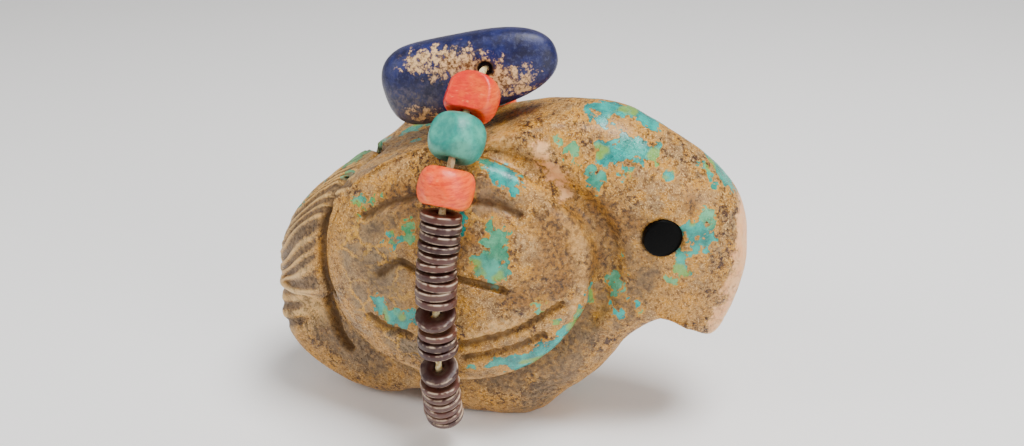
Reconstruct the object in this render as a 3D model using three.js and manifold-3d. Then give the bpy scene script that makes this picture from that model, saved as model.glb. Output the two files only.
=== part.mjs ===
// Carved stone bird fetish with its bundle: a drilled lapis nugget, six beads and
// forty shell heishi discs on one sinew thread.
// Millimetres. +Z is up, the bird faces -Y, its left side is +X.
// The origin is the middle of the flat foot.
import * as THREE from 'three';
import { mergeVertices } from 'three/addons/utils/BufferGeometryUtils.js';
import Module from 'manifold-3d';

const wasm = await Module();
wasm.setup();

const LEFT = 1;
const RIGHT = -1;

// Body: driving sizes
const footDrop = 0.8;

// Wings: an oval disc on each side, its middle and half axes in the side view, the
// half width there, and how full the disc stays towards its edge
const wingMiddle = { [LEFT]: { y: 4.3, z: 18.7 }, [RIGHT]: { y: 1.5, z: 18.7 } };
const wingHalfLength = { [LEFT]: 9.6, [RIGHT]: 12.3 };
const wingRise = { [LEFT]: 12.2, [RIGHT]: 12.4 };
const wingDrop = { [LEFT]: 8.2, [RIGHT]: 11.4 };
const wingReach = { [LEFT]: 9.4, [RIGHT]: 10.5 };
const wingFullness = { rear: 2.6, top: 2.0, front: 2.0, bottom: 3.6 };

// Half width at the wing's edge and the step down to the body behind it,
// at the rear, top, front and bottom of the oval
const wingEdge = {
  [LEFT]: { rear: 8.3, top: 6.6, front: 7.0, bottom: 8.0 },
  [RIGHT]: { rear: 8.5, top: 6.4, front: 7.4, bottom: 8.7 },
};
const wingStep = {
  [LEFT]: { rear: 0.3, top: 0.1, front: 0.8, bottom: 1.2 },
  [RIGHT]: { rear: 0.3, top: 0.1, front: 1.6, bottom: 2.2 },
};

// Side outline, from the crown round the face, belly and tail to the nape.
// rim is the point on the middle line, root the angle on the wing's oval where the
// section starts, width its half width and power how square the section is.
const STATIONS = [
  { name: 'crown', rim: [-9.5, 33.9], root: 112, width: 5.6, power: 1.8 },
  { name: 'forehead top', rim: [-14.7, 33.1], root: 123, width: 5.7, power: 1.9 },
  { name: 'forehead', rim: [-20.2, 29.7], root: 137, width: 5.9, power: 2.3 },
  { name: 'brow', rim: [-24.5, 25.2], root: 150, width: 6.0, power: 2.9 },
  { name: 'beak front', rim: [-25.7, 20.1], root: 161, width: 6.0, power: 3.2 },
  { name: 'beak', rim: [-24.8, 14.6], root: 172, width: 5.5, power: 3.2 },
  { name: 'beak tip', rim: [-23.2, 10.9], root: 182, width: 5.6, power: 2.8 },
  { name: 'beak underside', rim: [-22.0, 12.3], root: 190, width: 5.9, power: 3.1 },
  { name: 'throat', rim: [-19.6, 13.5], root: 197, width: 6.1, power: 3.2 },
  { name: 'breast top', rim: [-15.5, 11.1], root: 206, width: 6.3, power: 3.0 },
  { name: 'breast', rim: [-12.8, 7.0], root: 217, width: 6.5, power: 2.6 },
  { name: 'low breast', rim: [-9.3, 3.3], root: 233, width: 6.6, power: 2.2 },
  { name: 'foot front', rim: [-4.4, 0], root: 250, width: 6.6, power: 2.2 },
  { name: 'foot back', rim: [3.4, 0], root: 274, width: 6.5, power: 2.3 },
  { name: 'belly back', rim: [7.2, 1.5], root: 286, width: 6.0, power: 2.6 },
  { name: 'tail bottom', rim: [11.4, 0.1], root: 299, width: 4.6, power: 3.0 },
  { name: 'tail heel', rim: [16.6, 1.2], root: 310, width: 4.0, power: 3.4 },
  { name: 'tail rear', rim: [20.8, 4.1], root: 320, width: 3.4, power: 3.6 },
  { name: 'tail tip', rim: [23.3, 8.4], root: 329, width: 2.8, power: 3.4 },
  { name: 'tail top', rim: [22.4, 12.8], root: 337, width: 4.2, power: 3.6 },
  { name: 'fan end', rim: [22.4, 13.8], root: 341, width: 7.6, power: 2.1 },
  { name: 'fan low', rim: [22.0, 17.3], root: 357, width: 8.0, power: 2.0 },
  { name: 'fan', rim: [20.1, 21.0], root: 373, width: 8.0, power: 2.0 },
  { name: 'fan top', rim: [16.7, 24.4], root: 389, width: 7.8, power: 2.1 },
  { name: 'rump', rim: [12.4, 26.9], root: 405, width: 7.5, power: 2.2 },
  { name: 'back', rim: [7.8, 28.8], root: 424, width: 7.0, power: 2.3 },
  { name: 'saddle', rim: [0, 31.0], root: 451, width: 6.4, power: 2.2 },
  { name: 'nape', rim: [-5.2, 32.8], root: 464, width: 6.0, power: 2.0 },
];
const at = (name) => STATIONS.findIndex((s) => s.name === name);
const TURN = STATIONS.length;

// Fan and tail: flutes, a ridge and a hollow for each, between two stations
const fanFlutes = { from: at('fan end'), to: at('rump'), count: 8, depth: 0.8, sweep: 0.7 };
const tailFlutes = { from: at('tail rear'), to: at('tail top'), count: 4, depth: 0.4 };

// Mesh of the body: rows from a wing's middle to the outline, columns round it
const wingRows = [0, 0.35, 0.63, 0.86, 1];
const bandRowCount = 9;
const columnsPerGap = 2;

// Groove behind each wing: it climbs from the tail's flank along the wing's rear edge and
// crosses the rump to the middle line. Its width, depth and corners [station, share].
const groove = { width: 1.5, depth: 1.1 };
const grooveWay = [
  [at('tail heel'), 1.24], [at('tail rear') - 0.1, 1.18], [at('tail tip'), 1.14], [at('tail top') + 0.3, 1.08],
  [at('fan low'), 1.07], [at('fan') + 0.1, 1.1], [at('fan top') + 0.1, 1.19], [at('fan top') + 0.6, 1.45],
  [at('rump') - 0.1, 1.7], [at('rump') + 0.4, 1.97],
];
const grooveSteps = 18;

// Feather strokes on the wings: width, depth and their points [y, z]
const stroke = { width: 1.0, depth: 0.6 };
const strokes = {
  [RIGHT]: [
    [[9.8, 24.6], [7.2, 26.1], [4.5, 26.9]],
    [[-0.5, 26.9], [-3.1, 26.5], [-5.1, 25.6]],
    [[8.2, 19.2], [6.2, 20.7], [4.7, 20.2]],
    [[0.8, 19.5], [-1.9, 18.9], [-3.7, 18.4]],
    [[9.7, 14.2], [7.8, 13.3], [5.6, 12.8]],
    [[0.9, 12.2], [-4.8, 14.1], [-9.0, 16.5]],
    [[0.3, 10.7], [-4.2, 11.9], [-7.3, 13.3]],
  ],
  [LEFT]: [
    [[7.0, 22.6], [8.3, 21.9], [9.8, 21.4]],
    [[8.3, 26.1], [9.4, 25.7], [10.5, 25.1]],
  ],
};
const strokeSteps = 5;

// Eyes: flush black discs in drilled sockets, at a place in the side view
const eye = { y: -18, z: 22.8, radius: 1.85, depth: 1.8, dome: 0.3, turn: 20 };
const socketGap = 0.25;

// Lapis nugget: a rounded bar that leans on the back, front end up
const lapis = {
  y: 1.15, z: 36.2, length: 17.4, tilt: 15, frontEnd: 2.8, backEnd: 6,
  frontWidth: 4.0, backWidth: 7.0, frontHeight: 7.0, backHeight: 8.2,
};

// Thread, and the bore through everything that it strings
const threadRadius = 0.35;
const discBore = 0.65;
const beadBore = 0.8;
const lapisBore = 0.75;
const threadSides = 6;
const threadSteps = 38;
const knotRadius = 0.75;

// Route of the thread on each side, from the nugget's middle outwards
const bundleMiddle = [0, -0.8, 37.2];
const route = {
  [LEFT]: [
    [3.3, -0.7, 37.0], [5.5, 0.1, 35.3], [8.6, 0.9, 32.6], [10.8, 1.5, 29.1], [11.4, 1.8, 26.5],
    [11.6, 2.5, 19.6], [11.5, 3.2, 13.5], [11.4, 3.4, 9.0],
  ],
  [RIGHT]: [
    [3.3, -0.7, 37.0], [5.6, -0.3, 35.4], [8.7, 0.4, 32.7], [11.0, 0.9, 29.2], [11.8, 1.3, 26.3],
    [12.5, 1.8, 21.6], [12.8, 2.0, 17.5], [12.7, 2.1, 13.6], [12.4, 2.2, 10.2], [11.6, 2.3, 6.6],
    [10.2, 2.4, 3.0],
  ],
};

// Beads on each side, from the nugget outwards: kind and distance from its middle
const coral = {
  radius: 2.6, face: 1.8, bulge: 0.92, length: 3.5, sides: 10,
  look: { color: 0xb4492c, roughness: 0.45, metalness: 0 },
};
const turquoise = {
  radius: 2.6, face: 1.4, bulge: 0.93, length: 4.2, sides: 8,
  look: { color: 0x4a8371, roughness: 0.5, metalness: 0 },
};
const beads = [
  { name: 'coral_bead', suffix: '_upper', kind: coral, place: 6.0 },
  { name: 'turquoise_bead', suffix: '', kind: turquoise, place: 10.25 },
  { name: 'coral_bead', suffix: '_lower', kind: coral, place: 14.85 },
];

// Shell discs: size, spacing and the groups on each strand. A group starts after a
// stretch of bare thread; tip is how far its discs lean off square, in degrees.
const disc = { radius: 1.95, thickness: 0.62, pitch: 0.88, sides: 8 };
const firstDisc = 17.5;
const discGroups = {
  [LEFT]: [{ count: 19, bare: 0, tip: 0 }],
  [RIGHT]: [
    { count: 10, bare: 0, tip: 0 }, { count: 1, bare: 0.9, tip: 20 }, { count: 3, bare: 0.8, tip: 0 },
    { count: 1, bare: 1.8, tip: 20 }, { count: 6, bare: 0.8, tip: 0 },
  ],
};
const knotGap = 0.9;

const stoneLook = { color: 0xb08d57, roughness: 0.5, metalness: 0 };
const eyeLook = { color: 0x1d1a19, roughness: 0.25, metalness: 0 };
const lapisLook = { color: 0x26305c, roughness: 0.35, metalness: 0 };
const shellLook = { color: 0x5f463f, roughness: 0.6, metalness: 0 };
const threadLook = { color: 0xd8c9a2, roughness: 0.9, metalness: 0 };
const sideName = { [LEFT]: 'left', [RIGHT]: 'right' };

const deg = (a) => (a * Math.PI) / 180;
const mix = (a, b, k) => a + (b - a) * k;
const clamp01 = (k) => Math.min(1, Math.max(0, k));
const smooth = (k) => clamp01(k) * clamp01(k) * (3 - 2 * clamp01(k));
const wrap = (i) => ((i % TURN) + TURN) % TURN;

// A value given at the rear, top, front and bottom of the oval, for any angle
function round4(values, angle) {
  const ring = [values.rear, values.top, values.front, values.bottom];
  const quarter = (((angle % 360) + 360) % 360) / 90;
  const i = Math.floor(quarter);
  const k = (1 - Math.cos(Math.PI * (quarter - i))) / 2;
  return mix(ring[i % 4], ring[(i + 1) % 4], k);
}

// Catmull-Rom value of a periodic list at a fractional station
function along(read, station) {
  const i = Math.floor(station);
  const k = station - i;
  const [a, b, c, d] = [-1, 0, 1, 2].map((j) => read(i + j));
  const bend = (2 * a - 5 * b + 4 * c - d) * k * k + (3 * b - a - 3 * c + d) * k * k * k;
  return 0.5 * (2 * b + (c - a) * k + bend);
}

const rimAxis = (axis) => (i) => STATIONS[wrap(i)].rim[axis];
const rootAngle = (i) => STATIONS[wrap(i)].root + 360 * Math.floor(i / TURN);

function linear(key, station) {
  const i = Math.floor(station);
  return mix(STATIONS[wrap(i)][key], STATIONS[wrap(i + 1)][key], station - i);
}

// Point on a wing's oval, at a share of its radius
function ovalPoint(side, angle, share) {
  const up = Math.sin(deg(angle));
  const halfHeight = (up > 0 ? wingRise : wingDrop)[side];
  const { y, z } = wingMiddle[side];
  return [y + share * wingHalfLength[side] * Math.cos(deg(angle)), z + share * halfHeight * up];
}

function wingHalfWidth(side, angle, share) {
  const edge = round4(wingEdge[side], angle);
  return mix(edge, wingReach[side], (1 - share ** round4(wingFullness, angle)) ** 0.8);
}

// How far the fan's lines slant down from the wing's edge to the middle, in stations
function flutesSweep(station) {
  const { from, to, sweep } = fanFlutes;
  if (station <= from || station >= to) return 0;
  return sweep * Math.sin((Math.PI * (station - from)) / (to - from));
}

// Outward push of the flutes at a station: a ridge at whole numbers
function fluteHeight(flutes, station) {
  if (station <= flutes.from || station >= flutes.to) return 0;
  const turns = (flutes.count * (station - flutes.from)) / (flutes.to - flutes.from);
  return -flutes.depth * (0.5 - 0.5 * Math.cos(2 * Math.PI * turns));
}

// Point of the body on one side: share 0 to 1 is the wing, 1 to 2 the band from
// the wing's edge to the middle line; past it the other side's band follows
function bodyPoint(station, side, share) {
  if (share > 2) return bodyPoint(station, -side, 4 - share);
  const angle = along(rootAngle, station);
  if (share <= 1) {
    const [y, z] = ovalPoint(side, angle, share);
    return [side * wingHalfWidth(side, angle, share), y, z];
  }
  const root = ovalPoint(side, angle, 1);
  const power = linear('power', station);
  const across = deg(90 * (share - 1));
  const out = Math.sin(across) ** (2 / power);
  const base = round4(wingEdge[side], angle) - round4(wingStep[side], angle);
  const width = mix(base, linear('width', station), smooth(out / 0.4));
  const x = width * Math.cos(across) ** (2 / power);
  const end = station - flutesSweep(station);
  const rim = [along(rimAxis(0), end), along(rimAxis(1), end) - footDrop * footShare(station)];
  const flute = fluteHeight(fanFlutes, station) + fluteHeight(tailFlutes, station);
  const reach = [rim[0] - root[0], rim[1] - root[1]];
  const long = Math.hypot(...reach);
  const k = out * (1 + (flute * smooth((share - 1.05) / 0.25)) / long);
  return [side * x, root[0] + reach[0] * k, Math.max(0, root[1] + reach[1] * k)];
}

// 1 under the foot and 0 elsewhere, so that the foot is cut flat
function footShare(station) {
  const middle = (at('foot front') + at('foot back')) / 2;
  return smooth(1.5 - Math.abs(station - middle));
}

// Stations of the body's columns: the flutes set them on the fan and the tail
function columnStations() {
  const columns = [];
  for (let i = 0; i < TURN; i += 1) {
    const fluted = [fanFlutes, tailFlutes].find(({ from, to }) => i >= from && i < to);
    const count = fluted ? (2 * fluted.count) / (fluted.to - fluted.from) : columnsPerGap;
    for (let j = 0; j < count; j += 1) columns.push(i + j / count);
  }
  return columns;
}

// Shares of the body's rows, from the left wing's middle over the outline to the right
function rowShares() {
  const band = Array.from({ length: bandRowCount }, (_, i) => 1 + (i + 0.02) / (bandRowCount - 1 + 0.02));
  const half = [...wingRows, ...band.slice(0, -1)];
  const left = half.map((share) => ({ side: LEFT, share }));
  const right = half.map((share) => ({ side: RIGHT, share })).reverse();
  return [...left, { side: LEFT, share: 2 }, ...right];
}

function toSolid(geometry) {
  const bare = geometry.clone();
  bare.deleteAttribute('normal');
  bare.deleteAttribute('uv');
  const welded = mergeVertices(bare, 1e-4);
  return new wasm.Manifold(new wasm.Mesh({
    numProp: 3,
    vertProperties: new Float32Array(welded.attributes.position.array),
    triVerts: new Uint32Array(welded.index.array),
  }));
}

function toGeometry(solid) {
  const mesh = solid.getMesh();
  const geometry = new THREE.BufferGeometry();
  geometry.setAttribute('position', new THREE.BufferAttribute(new Float32Array(mesh.vertProperties), 3));
  geometry.setIndex(new THREE.BufferAttribute(new Uint32Array(mesh.triVerts), 1));
  return geometry;
}

// Moves every vertex of a geometry that has uv to place(u, v)
function placed(geometry, place) {
  const { position, uv } = geometry.attributes;
  for (let i = 0; i < position.count; i += 1) {
    position.setXYZ(i, ...place(uv.getX(i), uv.getY(i), i));
  }
  return geometry;
}

function bodyBlank() {
  const columns = columnStations();
  const rows = rowShares();
  const sphere = new THREE.SphereGeometry(1, columns.length, rows.length - 1);
  const pole = (row) => row === 0 || row === rows.length - 1;
  const place = (u, v, i) => {
    const row = Math.floor(i / (columns.length + 1));
    const column = i % (columns.length + 1);
    const { side, share } = rows[row];
    return bodyPoint(pole(row) ? 0 : columns[column % columns.length], side, share);
  };
  return placed(sphere, place);
}

// Outward unit normal of a surface point(a, b) at (a, b), by small steps of it
function normalOf(point, a, b, stepA, stepB, outward) {
  const away = (da, db) => new THREE.Vector3(...point(a + da, b + db));
  const first = away(stepA, 0).sub(away(-stepA, 0));
  const second = away(0, stepB).sub(away(0, -stepB));
  const normal = first.cross(second).normalize();
  return normal.dot(outward) < 0 ? normal.negate() : normal;
}

// Pointed wedge cutter of three edges that follows spots { point, normal }
function wedge(spots, width, depth) {
  const lift = depth * 0.6;
  const half = (width / 2) * (1 + lift / depth);
  const last = spots.length - 1;
  const place = (u, v, i) => {
    const row = Math.floor(i / 4);
    const corner = (i % 4) % 3;
    const { point, normal } = spots[row];
    if (row === 0 || row === last) return point.toArray();
    const ahead = spots[row + 1].point.clone().sub(spots[row - 1].point);
    const across = ahead.cross(normal).normalize();
    const taper = Math.min(1, Math.min(row, last - row) / 2);
    const sideways = [0, half, -half][corner] * taper;
    const up = corner === 0 ? -depth * taper : lift;
    return point.clone().addScaledVector(across, sideways).addScaledVector(normal, up).toArray();
  };
  return placed(new THREE.SphereGeometry(1, 3, last), place);
}

// Spots of the groove behind a wing
function grooveSpots(side) {
  const spread = 6;
  const corners = grooveWay.map(([station, share]) => new THREE.Vector3(station, share * spread, 0));
  const way = new THREE.CatmullRomCurve3(corners);
  const surface = (station, share) => bodyPoint(station, side, share);
  return way.getSpacedPoints(grooveSteps).map(({ x: station, y }) => {
    const share = y / spread;
    const outward = new THREE.Vector3(side * (2 - share), 0.6, share - 0.4);
    const normal = normalOf(surface, station, share, 0.3, 0.04, outward);
    return { point: new THREE.Vector3(...surface(station, share)), normal };
  });
}

// Point of a wing's face over a place in the side view
function wingFacePoint(side, y, z) {
  const across = (y - wingMiddle[side].y) / wingHalfLength[side];
  const rise = z - wingMiddle[side].z;
  const up = rise / (rise > 0 ? wingRise : wingDrop)[side];
  const angle = (Math.atan2(up, across) * 180) / Math.PI;
  return [side * wingHalfWidth(side, angle, Math.min(1, Math.hypot(across, up))), y, z];
}

function strokeSpots(side, marks) {
  const line = new THREE.CatmullRomCurve3(marks.map(([y, z]) => new THREE.Vector3(0, y, z)));
  const surface = (y, z) => wingFacePoint(side, y, z);
  const outward = new THREE.Vector3(side, 0, 0);
  return line.getSpacedPoints(strokeSteps).map(({ y, z }) => ({
    point: new THREE.Vector3(...surface(y, z)),
    normal: normalOf(surface, y, z, 0.3, 0.3, outward),
  }));
}

// Point of the head's flank over a place in the side view, by closing in on it
function flankPoint(side, y, z) {
  let best = { station: at('brow') + 0.5, share: 1.5 };
  const miss = ({ station, share }) => {
    const [, py, pz] = bodyPoint(station, side, share);
    return Math.hypot(py - y, pz - z);
  };
  for (let span = 1; span > 0.005; span *= 0.6) {
    const around = [-1, 0, 1].flatMap((a) => [-1, 0, 1].map((b) => ({
      station: best.station + a * span,
      share: Math.min(1.98, Math.max(1.02, best.share + b * span * 0.4)),
    })));
    best = around.reduce((near, next) => (miss(next) < miss(near) ? next : near));
  }
  return new THREE.Vector3(...bodyPoint(best.station, side, best.share));
}

const upright = new THREE.Vector3(0, 1, 0);

// Turns an object built along +Y towards a direction and moves it to a centre
function pose(object, { centre, direction }) {
  object.quaternion.setFromUnitVectors(upright, direction);
  object.position.copy(centre);
  return object;
}

// A cutter built along +Y, as a solid at its place
function posedSolid(geometry, seat) {
  const holder = pose(new THREE.Object3D(), seat);
  holder.updateMatrix();
  return toSolid(geometry.applyMatrix4(holder.matrix));
}

// Solid of revolution about +Y from [radius, height] corners; closed when it is a ring
const spun = (corners, sides) => new THREE.LatheGeometry(corners.map((c) => new THREE.Vector2(...c)), sides);

function eyeSeat(side) {
  const centre = flankPoint(side, eye.y, eye.z);
  const direction = new THREE.Vector3(side * Math.cos(deg(eye.turn)), -Math.sin(deg(eye.turn)), 0);
  return { centre, direction };
}

function eyeDisc() {
  const { radius, depth, dome } = eye;
  return spun([[0, -depth], [radius, -depth], [radius, 0], [radius * 0.6, dome * 0.8], [0, dome]], 12);
}

function eyeSocket(side) {
  const below = eye.depth + socketGap;
  const above = 2;
  const tool = new THREE.CylinderGeometry(eye.radius + socketGap, eye.radius + socketGap, below + above, 12);
  return posedSolid(tool.translate(0, (above - below) / 2, 0), eyeSeat(side));
}

function birdBody() {
  const cutters = [LEFT, RIGHT].flatMap((side) => [
    toSolid(wedge(grooveSpots(side), groove.width, groove.depth)),
    ...strokes[side].map((marks) => toSolid(wedge(strokeSpots(side, marks), stroke.width, stroke.depth))),
    eyeSocket(side),
  ]);
  return toGeometry(toSolid(bodyBlank()).subtract(wasm.Manifold.union(cutters)));
}

// Rounded bar along Y, thicker towards the back, drilled across
function lapisNugget() {
  const { length, tilt, frontEnd, backEnd, frontWidth, backWidth, frontHeight, backHeight } = lapis;
  const columns = 16;
  const rows = 10;
  const place = (u, v, i) => {
    const turn = (2 * Math.PI * (i % (columns + 1))) / columns;
    const run = -Math.cos((Math.PI * Math.floor(i / (columns + 1))) / rows);
    const reach = Math.sign(run) * Math.abs(run) ** 0.8;
    const swell = (1 - Math.abs(reach) ** (reach < 0 ? frontEnd : backEnd)) ** 0.42;
    const width = mix(frontWidth, backWidth, (reach + 1) / 2);
    const height = mix(frontHeight, backHeight, (reach + 1) / 2);
    const corner = (value) => Math.sign(value) * Math.abs(value) ** 0.8;
    return [
      (width / 2) * swell * corner(Math.cos(turn)),
      (length / 2) * reach,
      (height / 2) * swell * corner(Math.sin(turn)),
    ];
  };
  const bar = placed(new THREE.SphereGeometry(1, columns, rows), place);
  const solid = toSolid(bar.rotateX(-deg(tilt)).translate(0, lapis.y, lapis.z));
  const drill = new THREE.CylinderGeometry(lapisBore, lapisBore, backWidth * 2, 8);
  const seat = { centre: new THREE.Vector3(...bundleMiddle), direction: new THREE.Vector3(1, 0, 0) };
  return toGeometry(solid.subtract(posedSolid(drill, seat)));
}

// Whole run of the thread
const routePoints = [
  ...route[RIGHT].map(([x, y, z]) => new THREE.Vector3(-x, y, z)).reverse(),
  new THREE.Vector3(...bundleMiddle),
  ...route[LEFT].map(([x, y, z]) => new THREE.Vector3(x, y, z)),
];
const threadRun = new THREE.CatmullRomCurve3(routePoints, false, 'centripetal');
threadRun.arcLengthDivisions = 1000;
const middleShare = route[RIGHT].length / (routePoints.length - 1);
const middleDistance = threadRun.getLengths()[Math.round(middleShare * threadRun.arcLengthDivisions)];

// Place and direction at a distance from the middle; past the route's end the thread
// hangs straight on
function onThread(side, distance) {
  const whole = threadRun.getLength();
  const reach = side === LEFT ? whole - middleDistance : middleDistance;
  const share = (middleDistance + side * Math.min(distance, reach)) / whole;
  const direction = threadRun.getTangentAt(share).multiplyScalar(side);
  const centre = threadRun.getPointAt(share).addScaledVector(direction, Math.max(0, distance - reach));
  return { centre, direction };
}

function bead(kind) {
  const { radius, face, bulge, length, sides } = kind;
  const half = length / 2;
  const shoulder = half * 0.72;
  const corners = [
    [beadBore, -half], [face, -half], [radius * bulge, -shoulder], [radius, -half * 0.25],
    [radius, half * 0.25], [radius * bulge, shoulder], [face, half], [beadBore, half], [beadBore, -half],
  ];
  return spun(corners, sides);
}

function shellDisc() {
  const half = disc.thickness / 2;
  const corners = [[discBore, -half], [disc.radius, -half], [disc.radius, half], [discBore, half], [discBore, -half]];
  return spun(corners, disc.sides);
}

// Distances from the middle and tips of the discs on a strand
function discPlaces(side) {
  const places = [];
  let distance = firstDisc - disc.pitch;
  for (const { count, bare, tip } of discGroups[side]) {
    distance += bare;
    for (let i = 0; i < count; i += 1) {
      distance += disc.pitch;
      places.push({ distance, tip });
    }
  }
  return places;
}

// Distance of the knot from the middle, just past a strand's last disc
const knotDistance = (side) => discPlaces(side).at(-1).distance + knotGap + disc.thickness / 2;

function stringingThread() {
  const spot = (_, i) => {
    const distance = mix(-knotDistance(RIGHT), knotDistance(LEFT), i / threadSteps);
    return onThread(distance < 0 ? RIGHT : LEFT, Math.abs(distance)).centre;
  };
  const run = new THREE.CatmullRomCurve3(Array.from({ length: threadSteps + 1 }, spot), false, 'centripetal');
  const corner = (_, i) => {
    const angle = (2 * Math.PI * i) / threadSides;
    return new THREE.Vector2(threadRadius * Math.cos(angle), threadRadius * Math.sin(angle));
  };
  const section = new THREE.Shape(Array.from({ length: threadSides }, corner));
  const cord = new THREE.ExtrudeGeometry(section, { steps: threadSteps, bevelEnabled: false, extrudePath: run });
  const knots = [LEFT, RIGHT].map((side) => {
    const { centre } = onThread(side, knotDistance(side));
    return toSolid(new THREE.SphereGeometry(knotRadius, 7, 5).translate(centre.x, centre.y, centre.z));
  });
  return toGeometry(wasm.Manifold.union([toSolid(cord), ...knots]));
}

// A named piece with its look, at a seat or where its geometry already is
function piece(name, geometry, look, seat) {
  const mesh = new THREE.Mesh(geometry, new THREE.MeshStandardMaterial(look));
  mesh.name = name;
  return seat ? pose(mesh, seat) : mesh;
}

// Beads and discs of one strand, from the nugget outwards
function strand(side) {
  const pieces = new THREE.Group();
  for (const { name, suffix, kind, place } of beads) {
    pieces.add(piece(`${name}_${sideName[side]}${suffix}`, bead(kind), kind.look, onThread(side, place)));
  }
  discPlaces(side).forEach(({ distance, tip }, i) => {
    const seat = onThread(side, distance);
    seat.direction.applyAxisAngle(upright, deg(tip * side));
    pieces.add(piece(`heishi_${sideName[side]}_${String(i + 1).padStart(2, '0')}`, shellDisc(), shellLook, seat));
  });
  return pieces;
}

const group = new THREE.Group();
group.add(piece('bird_body', birdBody(), stoneLook));
group.add(piece('lapis_nugget', lapisNugget(), lapisLook));
group.add(piece('stringing_thread', stringingThread(), threadLook));
for (const side of [LEFT, RIGHT]) {
  group.add(piece(`eye_${sideName[side]}`, eyeDisc(), eyeLook, eyeSeat(side)));
  group.add(strand(side));
}

export default group;
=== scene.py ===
import bpy
import numpy as np
from mathutils import Matrix, Vector


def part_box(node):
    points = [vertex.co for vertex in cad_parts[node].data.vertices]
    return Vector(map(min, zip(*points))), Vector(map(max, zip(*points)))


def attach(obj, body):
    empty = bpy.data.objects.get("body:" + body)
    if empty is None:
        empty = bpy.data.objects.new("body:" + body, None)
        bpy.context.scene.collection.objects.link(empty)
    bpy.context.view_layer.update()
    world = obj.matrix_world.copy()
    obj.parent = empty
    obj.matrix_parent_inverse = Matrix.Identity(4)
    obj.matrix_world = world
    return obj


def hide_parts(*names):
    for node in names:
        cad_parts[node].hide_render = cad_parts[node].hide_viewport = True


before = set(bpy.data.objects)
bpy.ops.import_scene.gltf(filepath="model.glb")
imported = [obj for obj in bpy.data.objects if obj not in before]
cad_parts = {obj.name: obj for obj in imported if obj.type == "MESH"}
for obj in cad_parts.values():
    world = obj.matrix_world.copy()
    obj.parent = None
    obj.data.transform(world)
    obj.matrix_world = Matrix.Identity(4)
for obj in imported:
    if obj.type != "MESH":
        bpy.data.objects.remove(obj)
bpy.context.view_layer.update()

MM = 0.001
LEFT, RIGHT = 1, -1
SIDE_NAME = {LEFT: "left", RIGHT: "right"}
random = np.random.default_rng(7)

# Body: the outline's stations as rim y, rim z, angle on the wing's oval, half width, squareness
STATIONS = np.array([
    (-9.5, 33.9, 112, 5.6, 1.8), (-14.7, 33.1, 123, 5.7, 1.9), (-20.2, 29.7, 137, 5.9, 2.3),
    (-24.5, 25.2, 150, 6, 2.9), (-25.7, 20.1, 161, 6, 3.2), (-24.8, 14.6, 172, 5.5, 3.2),
    (-23.2, 10.9, 182, 5.6, 2.8), (-22, 12.3, 190, 5.9, 3.1), (-19.6, 13.5, 197, 6.1, 3.2),
    (-15.5, 11.1, 206, 6.3, 3), (-12.8, 7, 217, 6.5, 2.6), (-9.3, 3.3, 233, 6.6, 2.2),
    (-4.4, 0, 250, 6.6, 2.2), (3.4, 0, 274, 6.5, 2.3), (7.2, 1.5, 286, 6, 2.6),
    (11.4, 0.1, 299, 4.6, 3), (16.6, 1.2, 310, 4, 3.4), (20.8, 4.1, 320, 3.4, 3.6),
    (23.3, 8.4, 329, 2.8, 3.4), (22.4, 12.8, 337, 4.2, 3.6), (22.4, 13.8, 341, 7.6, 2.1),
    (22, 17.3, 357, 8, 2), (20.1, 21, 373, 8, 2), (16.7, 24.4, 389, 7.8, 2.1),
    (12.4, 26.9, 405, 7.5, 2.2), (7.8, 28.8, 424, 7, 2.3), (0, 31, 451, 6.4, 2.2),
    (-5.2, 32.8, 464, 6, 2),
])
BEAK, FOOT, TAIL_REAR, TAIL_TOP, FAN_END, RUMP = 5, 12.5, 17, 19, 20, 24
FOOT_DROP = 0.8
# Cheeks: the station whose line is lifted over the notch under the beak, and how far
BEAK_TIP, CHEEK_LIFT = 6.2, {RIGHT: 0.8, LEFT: 2.4}
# Grid: columns to a station, and rows over the oval, its ledge and the band to the rim
STATION_COLUMNS = 16
OVAL_ROWS, LEDGE_ROWS, BAND_ROWS = 34, 5, 74

# Wings: middle of the oval, half axes, reach, and edge and step at rear, top, front, bottom
MIDDLE = {LEFT: (4.3, 18.7), RIGHT: (1.5, 18.7)}
HALF_LENGTH = {LEFT: 9.6, RIGHT: 12.3}
RISE = {LEFT: 12.2, RIGHT: 12.4}
DROP = {LEFT: 8.2, RIGHT: 11.4}
REACH = {LEFT: 9.4, RIGHT: 10.5}
FULLNESS = (2.6, 2, 2, 3.6)
EDGE = {LEFT: (8.3, 6.6, 7, 8), RIGHT: (8.5, 6.4, 7.4, 8.7)}
STEP = {LEFT: (0.3, 0.1, 0.8, 1.2), RIGHT: (0.3, 0.1, 1.6, 2.2)}
# Share past the oval's edge over which the ledge steps in
LEDGE = 0.018

# Fan: flutes between two stations; they run along the middle and curve out at the sides
FLUTES, FLUTE_DEPTH, FLUTE_SWEEP = 8, 0.85, 0.7
FLUTE_SPREAD, FLUTE_TURNS, FLUTE_REACH = 0.1, 8, 8.0
# How far the flutes' widths and their way wander, in turns
FLUTE_WIDTHS, FLUTE_WANDER = 0.22, 0.15
TAIL_FLUTES, TAIL_LINES, TAIL_DEPTH = 4, 3.5, 0.65

# Cuts: the groove behind each wing as station and share, and the feather strokes as y, z
GROOVE = [
    (16.5, 1.2), (17.2, 1.165), (18, 1.14), (19.3, 1.08), (21, 1.07), (22.1, 1.1), (23.1, 1.19),
    (23.6, 1.45), (23.9, 1.7), (24.4, 1.97),
]
GROOVE_HALF, GROOVE_DEPTH = 0.7, 0.95
# Valley in front of each wing: first and last station, share, half width and depth
VALLEY = {RIGHT: (26.8, 36.6, 1.04, 1.9, 0.95), LEFT: (28, 37.5, 1.1, 2.4, 0.7)}
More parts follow.
